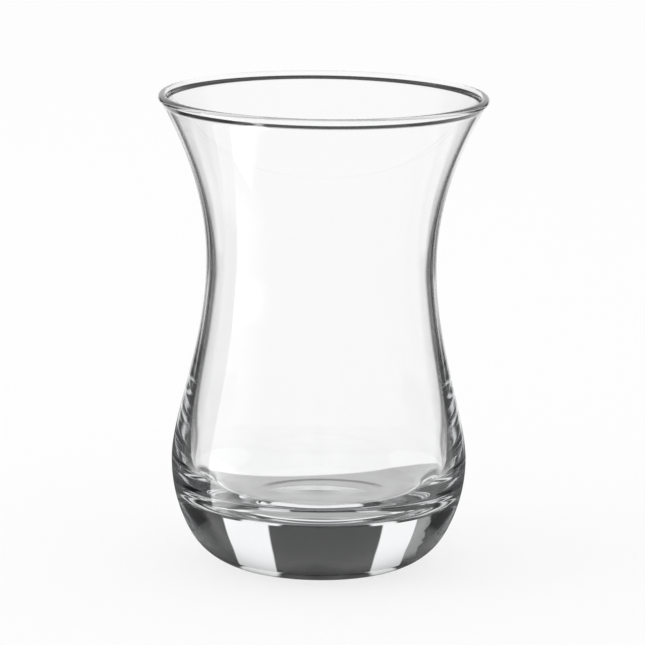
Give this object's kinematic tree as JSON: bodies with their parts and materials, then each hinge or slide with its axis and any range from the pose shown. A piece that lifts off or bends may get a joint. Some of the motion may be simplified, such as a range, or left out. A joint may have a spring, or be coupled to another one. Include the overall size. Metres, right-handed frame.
{
  "type": "tea glass",
  "caption": "Clear waisted tea glass with a flared beaded rim, pinched waist and thick rounded base that stands on a narrow foot ring, for serving hot chai.",
  "frame": {"origin": "centre of the foot, on the surface that the glass stands on", "axes": "+Z along the glass's axis, from the foot up to the rim; the glass is round, so X and Y are alike"},
  "size_m": [0.062, 0.062, 0.09],
  "materials": {
    "clear_glass": "clear soda-lime glass, fire-polished, with a slightly scuffed foot ring"
  },
  "bodies": {
    "root": {"glass_body": "clear_glass"}
  },
  "joints": []
}
